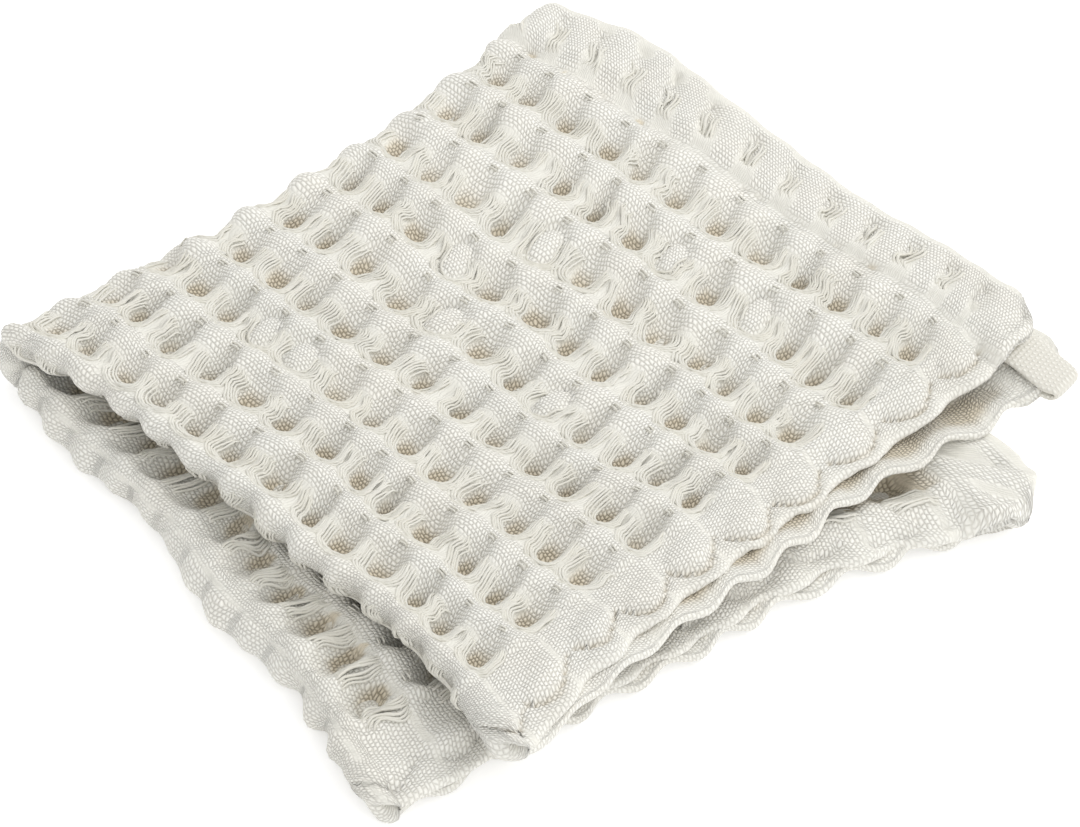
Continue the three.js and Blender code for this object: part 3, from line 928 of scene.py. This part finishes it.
# Strands at the cells' place p, side mm from a line. Inside its ends a strand lies on the weave or spans a
# hollow, at most "deepest" below the ridge, and its ends sink in by "tuck".
def layStrands(settings, cell, p, ridgePlace, line, side, arch, inside, radius, deepest):
    column, row = -(cell + p), line + side / lattice["rowPitch"]
    fields = np.broadcast_arrays(column, row, ridgePlace, arch, inside, radius)
    column, row, ridgePlace, arch, inside, radius = [field.reshape(-1, field.shape[2]) for field in fields]
    along, across = placeOf(column, row)
    weave = weaveAt(along, across)
    span = (readTable(cellTable, "ridge", ridgePlace) - deepest) * weave["share"]
    resting = np.maximum(weave["height"], span) + settings["lift"] + arch
    height = lerp(weave["height"] - settings["tuck"], resting, inside)
    along, across = along + weave["shiftAlong"], across + weave["shiftAcross"]
    way = sheetPoint(along, across, height + 0.5) - sheetPoint(along, across, height - 0.5)
    return tubes(sheetPoint(along, across, height), way / np.linalg.norm(way, axis=0), radius)


# Arrays with axes for cells, strands and steps: the cells' columns and rows, the strands' order, the places
# along them from start to 1. Then seeded numbers by cell and by strand.
def strandsIn(columns, rows, strands, steps, apart, start=-1):
    spans = [np.arange(first, last + 1) for first, last in (columns, rows)]
    cell, line = [field.reshape(-1, 1, 1) for field in np.meshgrid(*spans)]
    order, t = np.arange(strands)[None, :, None], np.linspace(start, 1, steps)[None, None, :]
    cellPick = lambda key: cellNumber(key, cell, line)
    strandPick = lambda key: cellNumber(key, cell * apart + order, line)
    return cell, line, order, t, cellPick, strandPick


longFloats = {
    "steps": 11,
    "radius": 0.42,
    "endSpread": (1.7, 2.3),  # half the bundle's width at its two ends, in mm
    "snake": 0.9,  # sideways S of the whole bundle
    "arch": 0.12,
    "eyeArch": 0.5,
    "eyeGap": 0.55,
    "lift": 0.1,
    "tuck": 0.22,
}

# On the lower pair's strip and on the hem: how many strands, half the bundle's width at its middle in mm,
# where it starts and ends in its cell, and how far a side strand may hang down into a hollow.
stripBundle = {"strands": 7, "spread": 2.1, "reach": (-0.05, 0.6), "deepest": 1.9}
hemBundle = {"strands": 4, "spread": 1.2, "reach": (0.2, 0.8), "deepest": 9}


# Bundles of long floats on the ridge between two hollows. Sideways a strand has the bundle's S and its own
# share of the spread, which swells as a half sine and opens round an eye.
def floatBundles(bundle, columns, rows):
    strands, steps = bundle["strands"], longFloats["steps"]
    cell, ridge, order, t, pick, strandPick = strandsIn(columns, rows, strands, steps, 9, 0)
    share = np.linspace(-1, 1, strands)[None, :, None]
    begin = bundle["reach"][0] + 0.035 * strandPick("begin") + 0.02 * pick("beginAll")
    end = bundle["reach"][1] + 0.04 * strandPick("end") + 0.03 * pick("endAll") - 0.05 * np.abs(share)
    p = lerp(begin, end, t)
    swell = np.sin(pi * t ** 0.85) ** 0.8
    eye = hasEye(cell, ridge) * hump(t - 0.5, 0.28)
    spread = bundle["spread"] * (1 + 0.12 * pick("spread"))
    side = share * lerp(lerp(*longFloats["endSpread"], t), spread, swell)
    side = side + eye * longFloats["eyeGap"] * np.sign(share + 0.02 * pick("beginAll")) * hump(share, 0.75)
    side = side + longFloats["snake"] * (0.4 + 0.9 * pick("snake")) * np.sin(2 * pi * (t - 0.5))
    side = side + (0.35 * pick("aside") + 0.14 * strandPick("apart")) * swell
    arch = longFloats["arch"] * swell * (1 + 0.5 * strandPick("arch"))
    arch = arch + longFloats["eyeArch"] * eye * hump(share, 0.6)
    inside = np.minimum(smooth(-0.02, 0.2, t), smooth(1.02, 0.84, t))
    radius = longFloats["radius"] * (0.5 + 0.5 * np.sin(pi * t) ** 0.5) * (1 + 0.1 * strandPick("radius"))
    return layStrands(longFloats, cell, p, p, ridge, side, arch, inside, radius, bundle["deepest"])


rims = {
    "strands": 5,
    "steps": 17,
    "radius": 0.36,
    "first": 0.3,  # from the hollow's edge to the innermost strand
    "pitch": 0.63,
    "turnAt": 0.2,  # where in the cell the arms begin to bend
    "turnReach": 2.2,
    "flatter": 0.85,
    "armEnd": 0.5,
    "arch": 0.24,
    "merge": 0.36,  # how far the outer strands sink into the crest
    "eyeGap": 0.9,
    "snake": 0.62,
    "waves": 17,
    "deepest": 1.5,  # how far a strand may hang down into a hollow
    "lift": 0.1,
    "tuck": 0.2,
}


# Strands round each hollow's deep end: half ellipses with two arms, half the hollow's width plus their own
# distance away. The outermost arms part round an eye.
def hollowRims(columns, rows):
    cell, line, order, t, _, strandPick = strandsIn(columns, rows, rims["strands"], rims["steps"], 5)
    ridge = line + (t > 0)
    pick = lambda key: cellNumber(key, cell, ridge)
    apart = rims["first"] + rims["pitch"] * (order + 0.16 * strandPick("apart"))
    turn = np.clip(t / 0.5, -1, 1) * pi / 2
    arm = clamp(np.abs(t) * 2 - 1)
    end = rims["armEnd"] + 0.06 * cellNumber("end", cell * 5 + order, ridge) + 0.06 * pick("endAll")
    p = rims["turnAt"] + (end - rims["turnAt"]) * arm
    p = p - (rims["turnReach"] + rims["flatter"] * apart) / lattice["columnPitch"] * np.cos(turn)
    halfWide = readTable(cellTable, "width", np.maximum(p, rims["turnAt"])) * lattice["rowPitch"]
    halfWide = halfWide * (1 + uneven("width", cell, line) * 0.8)
    eye = hasEye(cell, ridge) * hump(p - waffle["eyeAt"], waffle["eyeLong"])
    outermost = (order / (rims["strands"] - 1)) ** 2
    side = (halfWide + apart - rims["eyeGap"] * eye * outermost) * np.sin(turn)
    wave = np.sin(rims["waves"] * (p - 0.25) + 2 * pick("wave")) * np.abs(np.sin(turn))
    side = side + rims["snake"] * (0.4 + 0.6 * pick("snake")) * wave
    side = side + uneven("drift", cell, line) * lattice["rowPitch"] * (1 - arm)
    arch = rims["arch"] * np.sin(pi * arm) * (1 + 0.5 * strandPick("arch"))
    arch = arch - rims["merge"] * outermost**0.5 * np.cos(turn) ** 2
    radius = rims["radius"] * (0.55 + 0.45 * (1 - t**6)) * (1 + 0.08 * strandPick("radius"))
    inside = smooth(1, 0.84, np.abs(t))
    return layStrands(rims, cell, p, p % 1, line + 0.5, side, arch, inside, radius, rims["deepest"])


# Short flat strands across the shallow end of each hollow.
combs = {
    "steps": 7,
    "at": [0.77, 0.83],  # place in the cell of each
    "half": [1, 1.1],  # half length of each, in mm
    "radius": 0.25,
    "deepest": 1,  # they lie this far below the ridges
    "lift": 0.15,
    "tuck": 0.3,
}


def hollowCombs(columns, rows):
    cell, line, order, t, pick, strandPick = strandsIn(columns, rows, len(combs["at"]), combs["steps"], 6)
    place, half = [np.array(combs[label])[None, :, None] for label in ("at", "half")]
    side = t * half * (1 + 0.25 * strandPick("size")) + 0.4 * pick("height") + 0.2 * strandPick("aside")
    p = place + 0.01 * strandPick("lean") + 0.012 * pick("lean") * t
    radius = combs["radius"] * (1 - 0.3 * t**4)
    inside = smooth(1, 0.6, np.abs(t))
    return layStrands(combs, cell, p, p, line + 0.5, side, 0, inside, radius, combs["deepest"])


# First and last cells, by column and row. The strip is what shows of the lower pair.
print("strands")
strip, stripEnd = ((-12, -11), (-13, -3)), ((-19, -13), (-13, -11))
strandPieces = [
    strandPiece("rims_top", hollowRims((-10, -1), (0, 12))),
    strandPiece("rims_under", hollowRims((-9, -1), (-13, -1))),
    strandPiece("rims_lower_pair", floatBundles(stripBundle, *strip), floatBundles(stripBundle, *stripEnd),
                hollowCombs((-12, -12), (-13, -3)), hollowCombs(*stripEnd)),
    strandPiece("combs", hollowCombs((-9, -1), (-13, 12))),
    strandPiece("floats_hem", floatBundles(hemBundle, (0, 0), (-12, 12))),
]

# The hanging loop: one tape doubled back on itself.
tape = {
    "width": 10.6,
    "thickness": 1.9,
    "opening": 0.3,
    "baseOpening": 0.2,
    "tilt": 8,
    "short": 1.3,  # how far the tape ends before the node's tip
    "skew": -1,  # how far the tip is carried forward
    "droop": 2.2,  # how far the tip hangs down
    "wander": 0.3,
    "tipRound": 5,  # how far from the tip the sides begin to close in
    "tipWide": 0.5,
    "ribPitch": 1.1,
    "ribHeight": 0.05,
    "edgeIn": (0.12, 0.06),  # of the selvedges, steadily and with each rib
    "steps": 420,
    "ringPoints": 32,
}


# The tape's middle line runs out, round a half circle and back, and hangs down by droop * share^2. Its
# thickness has a rib every ribPitch, height * |sin(pi run / pitch)|, and its two selvedges are rounded.
def makeLoop(material):
    low, high = [np.array(corner) * 1000 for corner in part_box("hanging_loop")]
    tilt = radians(tape["tilt"])
    halfWide, half = tape["width"] / 2, tape["thickness"] / 2
    radius = half + tape["opening"] / 2
    rootX, tipX = low[0], high[0] - tape["short"]
    straight, bend = tipX - radius - half - rootX, pi * radius
    run = np.linspace(0, 2 * straight + bend, tape["steps"])
    turn = clamp((run - straight) / bend) * pi
    back = np.maximum(run - straight - bend, 0)
    x = rootX + np.minimum(run, straight) + radius * np.sin(turn) - back
    share = (x - rootX) / straight
    spread = 2 * half + tape["baseOpening"] - 2 * radius
    z = half + radius * (1 - np.cos(turn)) + spread * back / straight
    z = z - tape["droop"] * clamp(share) ** 2
    tangent = np.gradient(np.stack([x, z]), axis=1)
    tangent = tangent / np.linalg.norm(tangent, axis=0)

    # section round the tape: a flat oval, in shares of half the width and half the thickness
    angle = np.linspace(0, 2 * pi, tape["ringPoints"], endpoint=False)
    wide = np.sign(np.cos(angle)) * np.abs(np.cos(angle)) ** 0.7
    thick = np.sign(np.sin(angle)) * np.abs(np.sin(angle)) ** 0.8
    rib = tape["ribHeight"] * np.abs(np.sin(pi * run / tape["ribPitch"])) ** 0.7
    level = (half - 2 * tape["ribHeight"] + rib)[:, None] * thick
    fromTip = clamp((tipX - x) / tape["tipRound"])
    narrowed = lerp(tape["tipWide"], 1, np.sqrt(1 - (1 - fromTip) ** 2))
    inset, ripple = tape["edgeIn"]
    edge = (halfWide - inset + ripple * np.cos(2 * pi * run / tape["ribPitch"])) * narrowed
    aside = tape["wander"] * np.sin(0.4 * x) - tape["skew"] * np.clip(share, 0, 1.2) ** 1.5
    y = edge[:, None] * wide + aside[:, None]
    px, pz = x[:, None] + tangent[1][:, None] * level, z[:, None] - tangent[0][:, None] * level
    middleY, seat = (low[1] + high[1]) / 2, low[2] + halfWide * sin(tilt)
    points = np.stack([
        px, middleY + y * cos(tilt) - pz * sin(tilt),
        seat + y * sin(tilt) + pz * cos(tilt)], axis=-1)

    faces = tubeFaces(1, *level.shape)
    corners = np.concatenate([block.ravel() for block in faces])
    yarnMap = np.stack(np.broadcast_arrays(run[:, None], y), axis=-1).reshape(-1, 2)[corners]
    return makePiece("loop_tape", points.reshape(-1, 3) / 1000, faces, material, yarnMap)


tapeLook = {
    "steady": {**cottonLook["steady"], "Roughness": 0.9},
    "light": (0.84, 0.825, 0.765, 1),
    "warm": (0.80, 0.78, 0.71, 1),
    # painted shade between the tape's yarns
    "paintedGapShade": (0.45, 0.42, 0.35, 1),
    "yarnPitch": 0.55,
    "beadHeight": 0.0002,
}


# Woven tape: plain weave, sin(pi u) sin(pi v) as on the cloth but finer, with faint ribs across the tape.
def tapeFinish():
    finish = Finish("woven tape", tapeLook["steady"])
    place, yarn, u, v = finish.places()
    stray = (finish.noise(place, 260, 1) - 0.5) / pi
    along = (u / tape["ribPitch"] + stray).wave()
    bead = (along * (v / tapeLook["yarnPitch"] + stray).wave() * abs(along)).step(-0.2, 0.6)
    fibre = finish.noise(place, 4200, 3)
    tone = finish.tint(fibre.step(0.3, 0.7), tapeLook["light"], tapeLook["warm"])
    # painted shade between the beads
    colour = finish.tint((1 - bead) * 0.4, tone, tapeLook["paintedGapShade"])
    return finish.coat(colour, bead + abs(along) * 0.6, tapeLook["beadHeight"], 0.8, fibre)


loop = makeLoop(tapeFinish())

for piece in [cloth, loop, *strandPieces]:
    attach(piece, "root")
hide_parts("towel_cloth")
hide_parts("hanging_loop")

# The photograph's camera: rows are its right, up and back directions.
camera = {
    "place": (0.229267, -0.311058, 0.407663),
    "right": (0.735606, 0.670339, 0.097616),
    "up": (-0.537645, 0.490078, 0.686120),
    "back": (0.412094, -0.557197, 0.720909),
    "focalPixels": 2585.8,
    "imageWidth": 1080,
    "sensor": 36,
}


def makeCamera():
    data = bpy.data.cameras.new("camera")
    data.sensor_width = camera["sensor"]
    data.lens = camera["focalPixels"] / camera["imageWidth"] * data.sensor_width
    data.clip_start, data.clip_end = 0.01, 20
    view = linked("camera", data)
    matrix = Matrix([camera["right"], camera["up"], camera["back"]]).transposed().to_4x4()
    matrix.translation = camera["place"]
    view.matrix_world = matrix
    bpy.context.scene.camera = view


white = (1, 1, 1, 1)
studio = {
    "key": {"place": (0.1, 0.9, 1.05), "size": 0.8, "power": 7.2},
    "fill": {"place": (0.9, -0.1, 0.9), "size": 1.2, "power": 3.2},
    "sky": 0.85,
    "floorColour": (0.9, 0.9, 0.9, 1),
    "floorGlow": 0.3,
    "floorHalf": 3,
    "floorBelow": 0.0001,
}


def makeStudio():
    world = bpy.data.worlds.new("studio")
    world.use_nodes = True
    sky = world.node_tree.nodes["Background"].inputs
    sky["Color"].default_value, sky["Strength"].default_value = white, studio["sky"]
    bpy.context.scene.world = world
    for label in ("key", "fill"):
        facts = studio[label]
        data = bpy.data.lights.new(label, "AREA")
        data.size, data.energy = facts["size"], facts["power"]
        light = linked(label, data)
        light.location = facts["place"]
        light.rotation_mode = "QUATERNION"
        light.rotation_quaternion = (-Vector(facts["place"])).to_track_quat("-Z", "Y")
    finish = Finish("floor", {
        "Base Color": studio["floorColour"], "Roughness": 0.9, "Specular IOR Level": 0.1,
        "Emission Color": white, "Emission Strength": studio["floorGlow"]})
    points = np.array([[-1, -1, 0], [1, -1, 0], [1, 1, 0], [-1, 1, 0]]) * studio["floorHalf"]
    points = points - (0, 0, studio["floorBelow"])
    floor = makePiece("floor", points, [np.array([[0, 1, 2, 3]])], finish.material)
    bpy.context.scene.view_settings.view_transform = "Standard"


makeCamera()
makeStudio()
